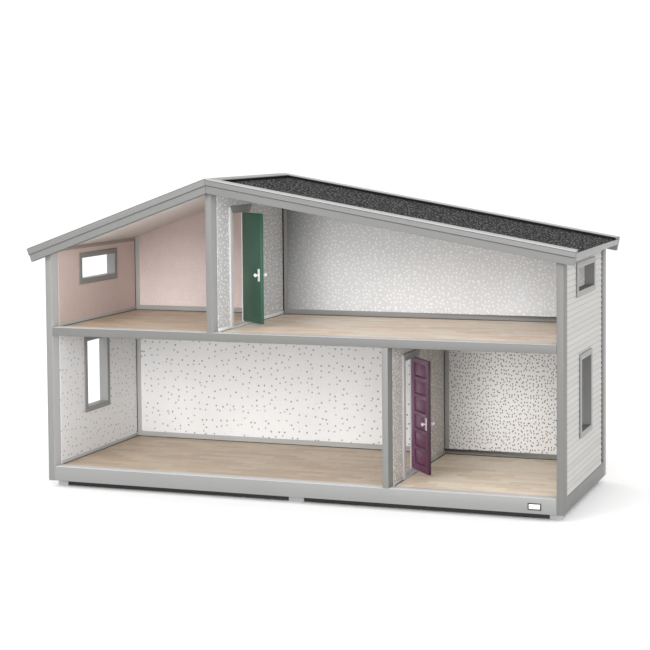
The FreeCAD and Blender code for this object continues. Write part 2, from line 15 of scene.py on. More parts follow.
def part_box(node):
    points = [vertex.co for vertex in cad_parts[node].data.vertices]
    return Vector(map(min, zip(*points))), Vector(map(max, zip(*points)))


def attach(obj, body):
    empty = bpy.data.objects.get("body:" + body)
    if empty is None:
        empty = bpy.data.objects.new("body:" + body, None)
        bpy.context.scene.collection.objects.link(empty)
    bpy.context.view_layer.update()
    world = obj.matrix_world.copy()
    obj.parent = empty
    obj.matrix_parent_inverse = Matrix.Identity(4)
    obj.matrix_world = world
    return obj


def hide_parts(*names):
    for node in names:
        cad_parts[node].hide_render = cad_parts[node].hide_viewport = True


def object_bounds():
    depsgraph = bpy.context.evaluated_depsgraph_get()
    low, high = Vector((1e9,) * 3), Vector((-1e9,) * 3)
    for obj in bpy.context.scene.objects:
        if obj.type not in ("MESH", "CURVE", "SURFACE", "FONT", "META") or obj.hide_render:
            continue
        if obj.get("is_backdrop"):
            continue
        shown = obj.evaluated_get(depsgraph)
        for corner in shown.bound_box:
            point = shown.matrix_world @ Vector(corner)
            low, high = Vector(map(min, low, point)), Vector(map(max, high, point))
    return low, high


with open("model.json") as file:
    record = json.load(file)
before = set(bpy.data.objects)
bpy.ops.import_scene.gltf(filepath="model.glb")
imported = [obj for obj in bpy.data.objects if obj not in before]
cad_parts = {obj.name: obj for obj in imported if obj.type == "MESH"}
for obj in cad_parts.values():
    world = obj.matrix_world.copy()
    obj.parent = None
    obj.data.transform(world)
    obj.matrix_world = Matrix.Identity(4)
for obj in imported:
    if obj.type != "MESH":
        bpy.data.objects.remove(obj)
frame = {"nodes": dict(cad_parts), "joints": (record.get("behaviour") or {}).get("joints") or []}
NODES = frame["nodes"]
cad_box = [list(c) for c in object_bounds()]
print(len(NODES), "boards and fittings")


def nothing_selected():
    bpy.ops.object.select_all(action="DESELECT")


nothing_selected()

# %% [markdown]
# ## Sizes that several cells share
# The roof falls to each side at its own slope, and each door stands open at rest
# by its own angle. The narrowest bars have the finest easing of their edges.

# %% Shared sizes
SLOPES = {"left": math.radians(19.85), "right": math.radians(10.04)}
OPENED = {"upper": math.radians(48), "lower": math.radians(39.5)}
FINE_EASE = 0.0001
print("roof slopes", [round(math.degrees(a), 2) for a in SLOPES.values()], "degrees")

# %% [markdown]
# ## Shader sums in plain Python
# A finish is a small graph of nodes. Wrapping each socket in a class with
# operators lets the sums be written as `1 - dots * 0.5`.


# %% A wire that does sums
class Wire:
    """A socket in a finish; sums on it add Math nodes."""

    def __init__(self, finish, socket):
        self.finish, self.socket = finish, socket

    def sum(self, operation, *others):
        settings = {"operation": operation}
        return self.finish.add("ShaderNodeMath", settings, dict(enumerate(others)))

    def __add__(self, other): return self.sum("ADD", self, other)
    def __radd__(self, other): return self.sum("ADD", other, self)
    def __sub__(self, other): return self.sum("SUBTRACT", self, other)
    def __rsub__(self, other): return self.sum("SUBTRACT", other, self)
    def __mul__(self, other): return self.sum("MULTIPLY", self, other)
    def __rmul__(self, other): return self.sum("MULTIPLY", other, self)
    def __truediv__(self, other): return self.sum("DIVIDE", self, other)
    def __rtruediv__(self, other): return self.sum("DIVIDE", other, self)
    def floor(self): return self.sum("FLOOR", self)
    def fract(self): return self.sum("FRACT", self)
    def below(self, edge, soft): return ((edge - self) * (1 / soft)).clamp()
    def clamp(self): return self.sum("MINIMUM", self.sum("MAXIMUM", self, 0.0), 1.0)


print("wire ready to use")

# %% A finish and its nodes
def grey(level):
    return (level, level, level, 1)


class Finish:
    """One material. Colours are linear RGB."""

    def __init__(self, name, roughness=0.5, **fixed):
        self.material = bpy.data.materials.new(name)
        self.material.use_nodes = True
        tree = self.material.node_tree
        self.nodes, self.links = tree.nodes, tree.links
        self.shader = self.nodes["Principled BSDF"]
        self.shader.inputs["Roughness"].default_value = roughness
        for socket, value in fixed.items():
            self.shader.inputs[socket.replace("_", " ")].default_value = value
        self.place = self.add("ShaderNodeTexCoord", {}, {}, "Object")

    def add(self, kind, settings, values, out=0):
        node = self.nodes.new(kind)
        for key, value in settings.items():
            if key == "stops":
                ramp = node.color_ramp
                while len(ramp.elements) < len(value):
                    ramp.elements.new(0.5)
                for stop, (at, colour) in zip(ramp.elements, value):
                    stop.position, stop.color = at, colour
            else:
                setattr(node, key, value)
        for key, value in values.items():
            socket = node.inputs[key]
            if isinstance(value, Wire):
                self.links.new(value.socket, socket)
            else:
                socket.default_value = value
        return Wire(self, node.outputs[out])

    def mix(self, share, first, second, blend="MIX"):
        settings = {"data_type": "RGBA", "blend_type": blend}
        return self.add("ShaderNodeMix", settings, {0: share, 6: first, 7: second}, 2)

    def stretched(self, size):
        return self.add("ShaderNodeMapping", {}, {"Vector": self.place, "Scale": size})

    def noise(self, size, detail=4.0, vector=None, rough=0.55):
        """Cloudy noise with features of about `size` metres."""
        values = {"Vector": vector or self.place, "Scale": 1 / size,
                  "Detail": detail, "Roughness": rough}
        return self.add("ShaderNodeTexNoise", {}, values, "Fac")

    def ramp(self, stops, share):
        return self.add("ShaderNodeValToRGB", {"stops": stops}, {0: share})

    def chance(self, **values):
        """One random number for each whole value of W or each cell of Vector."""
        settings = {"noise_dimensions": "1D" if "W" in values else "2D"}
        return self.add("ShaderNodeTexWhiteNoise", settings, values, "Value")

    def axes(self):
        xyz = self.add("ShaderNodeSeparateXYZ", {}, {0: self.place}, 0)
        node = xyz.socket.node
        return [Wire(self, node.outputs[i]) for i in range(3)]

    def flat(self, across, up):
        return self.add("ShaderNodeCombineXYZ", {}, {0: across, 1: up})

    def dots(self, vector, spacing, randomness=1.0, metric="EUCLIDEAN"):
        """Distance to the nearest dot's centre in spacings, and two random numbers of that dot."""
        settings = {"voronoi_dimensions": "2D", "distance": metric}
        values = {"Vector": vector, "Scale": 1 / spacing, "Randomness": randomness}
        d = self.add("ShaderNodeTexVoronoi", settings, values, "Distance")
        colour = Wire(self, d.socket.node.outputs["Color"])
        red = self.add("ShaderNodeSeparateColor", {}, {0: colour}, 0)
        return d, red, Wire(self, red.socket.node.outputs[1])

    def bump(self, height, depth, strength=1.0):
        values = {"Height": height, "Distance": depth, "Strength": strength}
        return self.add("ShaderNodeBump", {}, values)

    def wear(self, **sockets):
        for socket, wire in sockets.items():
            self.links.new(wire.socket, self.shader.inputs[socket.replace("_", " ")])
        return self.material


print("finish ready to use")

# %% [markdown]
# ## Grey paint for boards and trims
# The boards are fibreboard wrapped in a satin grey foil. The colour barely
# varies, so slow clouds, a fine roller stipple and small scuffs carry it. The
# doors' paint also shows brushed grain along the leaf. Several greys below are
# the foil painted lighter or darker on one board or face for how light falls
# there: painted light and painted shade. Most of the dark paints are painted
# shade in steps, grooves and gaps.


# %% Satin foil paints
def painted(name, colour, roughness=0.42, cloud=0.06, stipple=0.00002, grain=None):
    f = Finish(name, roughness)
    clouds = f.noise(0.06, 3)
    fine = f.noise(0.0012, 3)
    scuffs = (f.noise(0.009, 6, rough=0.7) * 4.0 - 2.35).clamp()
    dark = tuple(c * (1 - cloud) for c in colour[:3]) + (1,)
    light = tuple(min(1, c * (1 + cloud)) for c in colour[:3]) + (1,)
    base = f.mix(clouds, dark, light)
    height = fine
    if grain:
        lines = f.noise(1.0, 4, f.stretched(grain), 0.6)
        base = f.mix(lines * 0.35, base, dark)
        height = fine * 0.4 + lines
    base = f.mix(scuffs * 0.12, base, grey(min(1, sum(colour[:3]) / 3 * 1.3)))
    shine = roughness - 0.06 + clouds * 0.12 + scuffs * 0.08
    return f.wear(Base_Color=base, Roughness=shine, Normal=f.bump(height, stipple))


TRIM_GREY = painted("trim_grey_foil", (0.215, 0.218, 0.211, 1))
PALE_GREY = painted("pale_grey_trim", (0.44, 0.44, 0.435, 1), 0.45, 0.04)
BOARD_GREY = painted("board_grey_foil", (0.170, 0.170, 0.165, 1), 0.46, 0.05)
# Painted light and shade: the same foil is painted lighter on the left wall, and darker on the right
# wall, the mid floor, the upper partition and the bargeboards, for how light falls on each.
LEFT_WALL_LIT_GREY = painted("left_wall_foil_painted_light", (0.182, 0.182, 0.178, 1), 0.46, 0.05)
FOIL_DEEP_SHADE = painted("foil_painted_deep_shade", (0.132, 0.132, 0.128, 1), 0.46, 0.05)
FOIL_SHADE = painted("bargeboard_grey_foil", (0.152, 0.152, 0.148, 1), 0.46, 0.05)
# Painted light on the inner face of the left wall, the right face of the upper partition and the upper
# door frame's sides, and a painted highlight on the skirting at the partition's foot.
WALL_FACE_LIT = painted("left_wall_face_painted_light", grey(0.40), 0.48, 0.05)
PARTITION_FACE_LIT = painted("partition_face_painted_light", grey(0.32), 0.48, 0.05)
FRAME_LIT = painted("door_frame_painted_light", grey(0.62), 0.45, 0.04)
SKIRT_HIGHLIGHT = painted("skirting_painted_highlight", grey(0.90), 0.4, 0.03)
# Painted shade on the back trims of the right rooms and on the door lintels.
SHADED_TRIM_GREY = painted("trim_painted_shade", (0.27, 0.265, 0.26, 1), 0.48, 0.05)
# Painted light on the base runners, which stand in shade under the base.
RUNNER_LIT = painted("runner_painted_light", grey(0.40), 0.5, 0.05)
# Painted shade inside the right windows' holes.
LINER_SHADED = painted("window_liner_painted_shade", (0.10, 0.10, 0.098, 1), 0.5, 0.08)
SOFFIT_GREY = painted("roof_board_grey", (0.30, 0.295, 0.29, 1), 0.55, 0.07)
# Painted light under the left roof board.
SOFFIT_LIT = painted("roof_board_painted_light", (0.78, 0.77, 0.755, 1), 0.55, 0.06)
UPRIGHT_GRAIN = (420, 420, 28)
BRUSHED, MOULDED = 0.00003, 0.000005
GREEN_PAINT = painted("green_door_paint", (0.026, 0.092, 0.062, 1), 0.36, 0.10, BRUSHED, UPRIGHT_GRAIN)
PURPLE_PAINT = painted("purple_door_paint", (0.130, 0.036, 0.094, 1), 0.36, 0.10, BRUSHED, UPRIGHT_GRAIN)
HANDLE_WHITE = painted("white_handle_plastic", grey(0.80), 0.25, 0.02, MOULDED)
HANDLE_LILAC = painted("lilac_handle_plastic", (0.50, 0.45, 0.50, 1), 0.3, 0.03, MOULDED)
# Painted shade on the purple door's free edge and in the hinge-side and foot grooves of its panels.
PURPLE_EDGE_SHADE = painted("purple_edge_painted_shade", (0.030, 0.009, 0.020, 1), 0.4, 0.10)
PURPLE_GROOVE = painted("purple_groove_shadow", (0.030, 0.008, 0.020, 1), 0.5, 0.1)
# Painted shade lines along the bargeboards' edges and step, and a painted highlight along the right
# bargeboards' tops.
SHADE_LINE = painted("painted_shade_line", grey(0.035), 0.6, 0.1)
# Painted light on the upward faces of the front rail and the mid floor's lip.
TOP_LIT_GREY = painted("top_face_painted_light", grey(0.62), 0.4, 0.03)
BARGE_HIGHLIGHT = painted("bargeboard_top_edge", grey(0.31), 0.45, 0.05)
# Painted shadow: the plinth strips behind the front rail are nearly black to stand for the shade under
# the base.
PLINTH_SHADOW = painted("plinth_painted_shadow", grey(0.022), 0.7, 0.15)
BADGE_BLACK = painted("blank_badge_plate", (0.02, 0.02, 0.021, 1), 0.4, 0.1, 0.00001)
print("paints ready")

# %% [markdown]
# ## Lapped siding
# Each board is a little different, so a number drawn for its row shifts the
# tint, and the grain is stretched along the board. The foot of each lap is
# painted dark: painted shade under the lap.


# %% Siding paint
SIDING_FOOT, SIDING_PITCH = 0.0263, 0.0065


def siding_paint():
    f = Finish("warm_grey_siding", 0.55)
    laps = (f.axes()[2] - SIDING_FOOT) / SIDING_PITCH
    tint = f.chance(W=laps.floor())
    grain = f.noise(1.0, 5, f.stretched((300, 22, 700)), 0.65)
    base = f.mix(tint, (0.42, 0.41, 0.397, 1), (0.475, 0.465, 0.452, 1))
    base = f.mix(grain * 0.5, base, (0.38, 0.37, 0.35, 1))
    # Painted shade along the foot of each lap.
    foot = laps.fract().below(0.12, 0.1)
    base = f.mix(foot * 0.8, base, (0.16, 0.155, 0.15, 1))
    relief = f.bump(grain + tint * 0.3, 0.00006)
    return f.wear(Base_Color=base, Roughness=0.5 + grain * 0.15, Normal=relief)


SIDING = siding_paint()
print("siding paint ready")

# %% [markdown]
# ## Oak planks
# The floor is printed oak. Planks are laid to the right in staggered rows, and
# the same sums that stagger the modelled planks here pick each one's tint. Each
# room has its own copy, painted lighter in the right rooms and darker in the left
# ones for how light falls there: painted light and painted shade.


# %% Oak
PLANK_LONG, PLANK_WIDE, STAGGER, ROWS_BEFORE = 0.040, 0.0124, 0.37, 50
OAK_TONES = ((0.05, (0.47, 0.365, 0.255)), (0.5, (0.60, 0.485, 0.36)), (0.95, (0.71, 0.60, 0.47)))
PORE_TONE = (0.36, 0.27, 0.18)


def oak(name, *light):
    """Printed oak; `light` scales its red, green and blue: painted light and shade for its room."""
    f = Finish(name, 0.42)
    x, y, z = f.axes()
    row = (y / PLANK_WIDE + ROWS_BEFORE).floor()
    plank = (x / PLANK_LONG + (row * STAGGER).fract() + ROWS_BEFORE).floor()
    pick = f.chance(Vector=f.flat(row, plank))
    moved = {0: f.stretched((14, 260, 260)), 1: f.flat(pick * 40, pick * 90)}
    figure = {"Vector": f.add("ShaderNodeVectorMath", {"operation": "ADD"}, moved),
              "Scale": 1.0, "Detail": 6.0, "Roughness": 0.6, "Distortion": 0.6}
    rings = f.add("ShaderNodeTexNoise", {}, figure, "Fac")
    pores = f.noise(1.0, 2, f.stretched((120, 1900, 1900)))

    def lit(rgb, most):
        return tuple(min(most, c * l) for c, l in zip(rgb, light)) + (1,)

    base = f.ramp([(at, lit(rgb, 0.95)) for at, rgb in OAK_TONES], pick * 0.5 + rings * 0.5)
    base = f.mix(pores.below(0.42, 0.1) * 0.35, base, lit(PORE_TONE, 1.0))
    relief = f.bump(rings - pores * 0.4, 0.00005)
    return f.wear(Base_Color=base, Roughness=0.36 + rings * 0.16, Normal=relief)


# Painted light and shade: the same oak is painted darker in the left rooms and much lighter in the right
# rooms.
OAKS = {
    "lower_left": oak("oak_lower_left_painted_shade", 0.91, 0.87, 0.85),
    "upper_left": oak("oak_upper_left_painted_shade", 0.94, 0.93, 0.92),
    "lower_right": oak("oak_lower_right_painted_light", 1.51, 1.56, 1.66),
    "upper_right": oak("oak_upper_right_painted_light", 1.57, 1.57, 1.70),
}
print(len(OAKS), "oak finishes ready")

# %% [markdown]
# ## Wallpapers
# Each room has its own paper, and the lower right room has one print at the
# back and another at the sides. The dots come from a 2D Voronoi pattern read on
# the wall's own plane: x and z on the back walls, y and z on the side walls.
# Some papers are painted darker towards a corner, the top or a band, and the side walls' papers darker
# than the backs': painted shade.


# %% Paper with dots
# The left wall's paper gets a band of painted shade left of this x.
SHADE_BAND_LEFT_OF = -0.2


def paper(name, side, ground, ground_dark, dot, spacing, size, dot_second=None,
          keep=0.0, metric="EUCLIDEAN", randomness=1.0, tall=1.0, wide=1.0, cloud=0.03,
          speck=0.0, speck_colour=grey(0.3), speck_size=0.36,
          corner=None, top=None, band=None, shadow=grey(0.25)):
    """Ground, dots and specks, and painted shade. `corner` and `top` hold a painted shade's start,
    steepness and depth, and `band` is the height above which the left wall's paper gets painted shade."""
    f = Finish(name, 0.62)
    x, y, z = f.axes()
    plane = f.flat((y if side else x) * (1 / wide), z * (1 / tall))
    fibre = f.noise(0.0009, 3)
    base = f.mix(f.noise(cloud, 3), ground_dark, ground)
    if speck:
        d, pick, _ = f.dots(plane, speck)
        base = f.mix(d.below(speck_size, 0.10) * (pick * 0.9), base, speck_colour)
    d, pick, second = f.dots(plane, spacing, randomness, metric)
    shown = pick.below(1.0 - keep, 0.02) if keep else 1.0
    mask = d.below(size, 0.10) * shown
    base = f.mix(mask, base, f.mix(second, dot, dot_second or dot))
    shades = []
    if corner:
        start, steep, depth = corner
        shades.append((1 - ((x - start) * steep).clamp()) * depth)
    if top:
        start, steep, depth = top
        shades.append(((z - start) * steep).clamp() * depth)
    if band:
        shades.append(z.sum("GREATER_THAN", z, band) * x.below(SHADE_BAND_LEFT_OF, 0.01) * 0.60)
    if shades:
        base = f.mix(sum(shades[1:], shades[0]).clamp(), base, shadow, "MULTIPLY")
    return f.wear(Base_Color=base, Normal=f.bump(fibre + mask * 0.2, 0.00003))


print("paper ready to use")

# %% The eight papers
# The side walls' papers are painted darker than the backs' as painted shade.
SIDE_PAINTED_SHADE = 0.86


def papers(side):
    tag = "side" if side else "back"
    shade = SIDE_PAINTED_SHADE if side else 1.0

    def tone(*rgb):
        return tuple(c * shade for c in rgb) + (1,)

    def scaled(rgb, share):
        return tone(*(min(0.95, c * share) for c in rgb))

    # The blush paper is painted darker and browner on the side walls, and the snow paper lighter on the
    # back: painted shade and painted light.
    blush = (0.72, 0.59, 0.55) if side else (0.93, 0.81, 0.79)
    snow = 1.0 if side else 1.05
    if side:
        lower_right = paper(
            "speckle_paper", side, (0.55, 0.52, 0.495, 1), (0.46, 0.435, 0.41, 1),
            (0.30, 0.28, 0.25, 1), 0.0032, 0.28, (0.93, 0.90, 0.88, 1), wide=2.0,
            speck=0.0023, speck_colour=(0.24, 0.22, 0.20, 1))
    else:
        # Painted shade: the dash paper darkens towards the partition at its left.
        lower_right = paper(
            "dash_paper", side, (0.94, 0.93, 0.92, 1), (0.89, 0.88, 0.87, 1),
            (0.02, 0.016, 0.018, 1), 0.0037, 0.235, (0.09, 0.07, 0.08, 1),
            randomness=0.78, tall=1.30, corner=(0.120, 15, 0.52))
    lower_left = paper(
        "confetti_paper_" + tag, side, tone(0.86, 0.86, 0.865), tone(0.81, 0.81, 0.815),
        grey(0.16), 0.0098, 0.185, (0.50, 0.47, 0.46, 1), 0.04, "MANHATTAN", 0.8,
        speck=0.0080, speck_size=0.13, speck_colour=grey(0.66))
    # Painted shade: the blush paper darkens towards the top on the back, and in a band under the roof at
    # the left of the side.
    upper_left = paper(
        "blush_paper_" + tag, side, tone(*blush), tone(*(c * 0.87 for c in blush)),
        scaled(blush, 1.0 if side else 1.05), 0.0058, 0.22, tone(*(c * 0.84 for c in blush)),
        speck=0.0026, speck_colour=tone(*(c * 0.90 for c in blush)), cloud=0.012,
        top=None if side else (0.205, 11, 0.54), band=0.2835 if side else None,
        shadow=grey(0.25) if side else (0.32, 0.25, 0.22, 1))
    # Painted shade: the snow paper on the back darkens towards the partition at its left and towards the
    # top.
    upper_right = paper(
        "snow_paper_" + tag, side, tone(*(c * snow for c in (0.72, 0.735, 0.755))),
        tone(*(c * snow for c in (0.62, 0.63, 0.645))), tone(0.95, 0.96, 0.97),
        0.0051, 0.26, grey(0.88), randomness=0.9, wide=1.5 if side else 1.0,
        speck=0.0030, speck_size=0.24,
        speck_colour=(0.42, 0.41, 0.41, 1) if side else (0.80, 0.80, 0.805, 1),
        corner=None if side else (-0.094, 15, 0.84), top=None if side else (0.21, 9, 0.24))
    return {"lower_left": lower_left, "lower_right": lower_right,
            "upper_left": upper_left, "upper_right": upper_right}


BACK_PAPERS, SIDE_PAPERS = papers(False), papers(True)
print("papers ready")

# %% [markdown]
# ## Roofing, steel and bare board
# The covering is a charcoal felt with fine pale grit in slanting rows. Screws
# are zinc-plated, and the base and back are bare fibreboard.


# %% Roofing felt
def felt():
    f = Finish("charcoal_roof_felt", 0.85, Specular_IOR_Level=0.03)
    x, y, _ = f.axes()
    slant = f.flat(x + y * 0.05, y * 0.42 - x * 0.06)
    d, pick, _ = f.dots(slant, 0.0031, 0.9)
    grit = d.below(0.36, 0.14) * pick
    fine = f.noise(0.0011, 4)
    base = f.mix(f.noise(0.05, 3), (0.012, 0.012, 0.012, 1), (0.019, 0.0185, 0.0185, 1))
    base = f.mix(grit * 0.85, base, grey(0.24))
    relief = f.bump(grit + fine * 0.5, 0.00025)
    return f.wear(Base_Color=base, Roughness=0.8 - grit * 0.2, Normal=relief)


FELT = felt()
print("felt ready")


# %% Black seal, zinc and bare board
# The black is a painted shadow: it serves the seals and the strips that stand for the shade in gaps and
# grooves.
def shadow_black():
    f = Finish("black_seal_painted_shadow", 0.8, Specular_IOR_Level=0.05)
    n = f.noise(0.003, 4)
    return f.wear(Base_Color=f.mix(n, grey(0.006), grey(0.016)), Normal=f.bump(n, 0.00005))


def zinc():
    f = Finish("zinc_plated_steel", 0.3, Metallic=1.0)
    n = f.noise(0.0015, 4)
    base = f.mix(n, grey(0.46), grey(0.62))
    return f.wear(Base_Color=base, Roughness=0.24 + n * 0.16, Normal=f.bump(n, 0.00001))


def fibreboard():
    f = Finish("bare_fibreboard", 0.7)
    fibres = f.noise(1.0, 6, f.stretched((500, 900, 700)), 0.7)
    tones = [(0.25, (0.27, 0.19, 0.12, 1)), (0.75, (0.39, 0.285, 0.185, 1))]
    base = f.ramp(tones, fibres * 0.85 + f.noise(0.04, 3) * 0.15)
    return f.wear(Base_Color=base, Normal=f.bump(fibres, 0.00008))


BLACK, ZINC, BARE = shadow_black(), zinc(), fibreboard()
print("seal, zinc and board ready")

# %% [markdown]
# ## Easing the edges
# No real board has a knife edge. Each board's loose triangles are merged in a
# copy, flat faces are dissolved back to one, and a small bevel that catches
# the light is applied to its edges. The copy then stands for the board.


# %% A copy with eased edges
MERGE = 0.00001
SHARP = math.radians(40)


def select_only(piece):
    nothing_selected()
    bpy.context.view_layer.objects.active = piece
    piece.select_set(True)


def eased(name, finish, radius, body="house"):
    """A copy of a board with eased edges that rides on a body and stands for the board."""
    source = NODES[name]
    copy = bpy.data.objects.new(name + "_eased", source.data.copy())
    copy.matrix_world = source.matrix_world
    bpy.context.collection.objects.link(copy)
    select_only(copy)
    copy.data.materials.clear()
    copy.data.materials.append(finish)
    bpy.ops.object.mode_set(mode="EDIT")
    bpy.ops.mesh.select_all(action="SELECT")
    bpy.ops.mesh.remove_doubles(threshold=MERGE)
    bpy.ops.mesh.dissolve_limited(angle_limit=math.radians(1))
    bpy.ops.object.mode_set(mode="OBJECT")
    bevel = copy.modifiers.new("ease", "BEVEL")
    bevel.width, bevel.segments = radius, 2
    bevel.limit_method, bevel.angle_limit = "ANGLE", SHARP
    bpy.ops.object.modifier_apply(modifier="ease")
    bpy.ops.object.shade_smooth_by_angle(angle=math.radians(35))
    bpy.ops.object.mode_set(mode="EDIT")
    bpy.ops.mesh.select_all(action="SELECT")
    bpy.ops.mesh.quads_convert_to_tris()
    bpy.ops.object.mode_set(mode="OBJECT")
    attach(copy, body)
    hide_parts(name)
    return copy


print("easing ready to use")

# %% Ease the boards and trims
# Several boards take a copy of the foil painted lighter or darker: painted light on the runners, the
# left wall and the left roof board, painted shade on the right wall, the mid floor, the upper partition
# and the bargeboards. The plinth strips are painted shadow.
BOARDS = {
    "base_front_rail": (TRIM_GREY, 0.0006), "base_rear_rail": (TRIM_GREY, 0.0005),
    "base_runner_left": (RUNNER_LIT, 0.0006), "base_runner_middle": (RUNNER_LIT, 0.0006),
    "base_runner_right": (RUNNER_LIT, 0.0006), "badge_plate": (BADGE_BLACK, 0.0002),
    "plinth_strip_left": (PLINTH_SHADOW, 0.0003), "plinth_strip_right": (PLINTH_SHADOW, 0.0003),
    "mid_floor_panel": (FOIL_DEEP_SHADE, 0.0005),
    "wall_panel_left": (LEFT_WALL_LIT_GREY, 0.0004), "wall_panel_right": (FOIL_DEEP_SHADE, 0.0004),
    "partition_lower": (BOARD_GREY, 0.0004), "partition_upper": (FOIL_SHADE, 0.0004),
    "roof_panel_left": (SOFFIT_LIT, 0.0003), "roof_panel_right": (SOFFIT_GREY, 0.0003),
    "ridge_cap": (TRIM_GREY, 0.0005), "side_skirting": (PALE_GREY, 0.00025),
}
for side in ("left", "right"):
    BOARDS["back_batten_" + side] = (TRIM_GREY, 0.0006)
    BOARDS["eave_strip_" + side] = (TRIM_GREY, 0.0004)
    for end in ("front", "rear"):
        BOARDS["bargeboard_%s_%s" % (end, side)] = (FOIL_SHADE, 0.0006)
    for level in ("upper", "lower"):
        BOARDS["window_frame_%s_%s" % (side, level)] = (TRIM_GREY, 0.0004)
for level in ("lower", "upper"):
    BOARDS["door_frame_" + level] = (PALE_GREY, 0.0004)
    BOARDS["back_panel_" + level] = (BARE, 0.0006)
    BOARDS["back_trim_" + level] = (PALE_GREY, 0.0003)
for name, (finish, radius) in BOARDS.items():
    eased(name, finish, radius)
print("eased", len(BOARDS), "boards and trims")

# %% Door leaves
eased("door_leaf_upper", GREEN_PAINT, 0.0005, "upper_door")
panelled = eased("door_leaf_lower", PURPLE_PAINT, 0.00035, "lower_door")
print("eased both doors")

# %% [markdown]
# ## Second finishes on a board
# The bargeboards are stepped, so their faces are cut along the slope into bands,
# and the bands along the edges and the step are painted dark as painted shade,
# with a painted highlight along the top of the right ones. Faces that are painted
# lighter or darker than the rest of their board, as painted light and shade, are
# picked by where they are and which way they look.

# %% Bands, and faces with another finish
BARGE_STEP = 0.0168


def face_bands(board, side, bands, front):
    """Cut a bargeboard's face along the slope and give each band its finish."""
    slope = SLOPES[side]
    out = Vector((math.sin(slope) * (1 if side == "right" else -1), 0, math.cos(slope)))
    apex = Vector((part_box("roof_panel_left")[1][0], 0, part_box("ridge_cap")[1][2]))
    select_only(board)
    bpy.ops.object.mode_set(mode="EDIT")
    for depth in sorted({d for band in bands for d in band[:2] if 0 < d < BARGE_STEP}):
        bpy.ops.mesh.select_all(action="SELECT")
        bpy.ops.mesh.bisect(plane_co=apex - out * depth, plane_no=out)
    bpy.ops.object.mode_set(mode="OBJECT")
    finishes = [board.data.materials[0]]
    for _, _, finish in bands:
        if finish not in finishes:
            finishes.append(finish)
            board.data.materials.append(finish)
    for f in board.data.polygons:
        depth = (apex - f.center).dot(out)
        if f.normal.y * front < -0.4:
            for top, low, finish in bands:
                if top - 0.0002 < depth < low:
                    f.material_index = finishes.index(finish)


def second_finish(name, finish, chosen):
    """Give the faces of an eased board that `chosen` picks another finish."""
    board = bpy.data.objects[name + "_eased"]
    board.data.materials.append(finish)
    for f in board.data.polygons:
        if chosen(f):
            f.material_index = len(board.data.materials) - 1


def lit_tops(name, finish, nearest):
    """Give a board's upward faces that lie in front of `nearest` a lighter finish: painted light."""
    second_finish(name, finish, lambda f: f.normal.z > 0.8 and f.center.y < nearest)


print("bands and second finishes ready to use")

# %% Painted shade lines and painted light on edges
ALL_OF_IT, FRONT_ONLY = 1, -0.09
# The right bargeboards get a painted highlight at the top, and both get painted shade lines at the edges
# and the step.
RIGHT_BANDS = ((0, 0.0014, BARGE_HIGHLIGHT), (0.0014, 0.0021, SHADE_LINE), (0.0074, 0.0085, SHADE_LINE))
LEFT_BANDS = ((0, 0.0007, SHADE_LINE), (0.0075, 0.0085, SHADE_LINE), (0.0162, BARGE_STEP, SHADE_LINE))
for end, front in (("front", 1), ("rear", -1)):
    right = "bargeboard_%s_right" % end
    left = "bargeboard_%s_left" % end
    face_bands(bpy.data.objects[right + "_eased"], "right", RIGHT_BANDS, front)
    face_bands(bpy.data.objects[left + "_eased"], "left", LEFT_BANDS, front)
    lit_tops(right, BARGE_HIGHLIGHT, ALL_OF_IT)
# Painted light on the top faces of the front rail and the mid floor's lip.
for name in ("base_front_rail", "mid_floor_panel"):
    lit_tops(name, TOP_LIT_GREY, FRONT_ONLY)
print("joint lines drawn on the bargeboards")

# %% Faces painted lighter or darker: painted light and shade
# Painted shade: the liners of the right windows, the back trims right of each partition and the door
# lintels. Painted light: the upper door frame below its lintel, the left wall's inner face and the upper
# partition's right face, with a painted highlight on the skirting at the partition's foot.
LINER_INSET, LINTEL_HIGH = 0.004, 0.009


def in_liner(low, high):
    """A test for the faces inside a window's hole."""
    def inside(f):
        return abs(f.normal.x) < 0.3 and all(
            low[i] + LINER_INSET < f.center[i] < high[i] - LINER_INSET for i in (1, 2))
    return inside


for level in ("lower", "upper"):
    window = "window_frame_right_" + level
    second_finish(window, LINER_SHADED, in_liner(*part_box(window)))
    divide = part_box("partition_" + level)[1][0]
    second_finish("back_trim_" + level, SHADED_TRIM_GREY, lambda f: f.center.x > divide)
    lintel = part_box("door_frame_" + level)[1][2] - LINTEL_HIGH
    second_finish("door_frame_" + level, SHADED_TRIM_GREY, lambda f: f.center.z > lintel)
    if level == "upper":
        second_finish("door_frame_upper", FRAME_LIT, lambda f: f.center.z < lintel)
for name, finish in (("wall_panel_left", WALL_FACE_LIT), ("partition_upper", PARTITION_FACE_LIT)):
    second_finish(name, finish, lambda f: f.normal.x > 0.9)
part_low, part_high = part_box("partition_upper")
second_finish("side_skirting", SKIRT_HIGHLIGHT,
              lambda f: f.center.z > part_low[2] and abs(f.center.x - part_high[0]) < 0.003)
print("faces given another grey")

# %% Finishes for the sheets that keep their CAD shape
def repaint(name, finish):
    materials = NODES[name].data.materials
    materials.clear()
    materials.append(finish)


SHEETS = {"siding_left": SIDING, "siding_right": SIDING, "ground_floor_deck": BARE, "deck_joist": BARE,
          "roof_covering_left": FELT, "roof_covering_right": FELT,
          "hinge_pins_lower": ZINC, "hinge_pins_upper": ZINC}
for room in OAKS:
    SHEETS["wallpaper_back_" + room] = BACK_PAPERS[room]
    SHEETS["wallpaper_sides_" + room] = SIDE_PAPERS[room]
    SHEETS["oak_floor_" + room] = OAKS[room]
for name, finish in SHEETS.items():
    repaint(name, finish)
print("finished", len(SHEETS), "sheets and fittings")

# %% [markdown]
# ## Floor planks
# One plank is a cube pressed flat with its top edges bevelled, so that rows of
# copies leave fine grooves. Rows are staggered by the oak's own sums, and each
# plank is cut to the room.


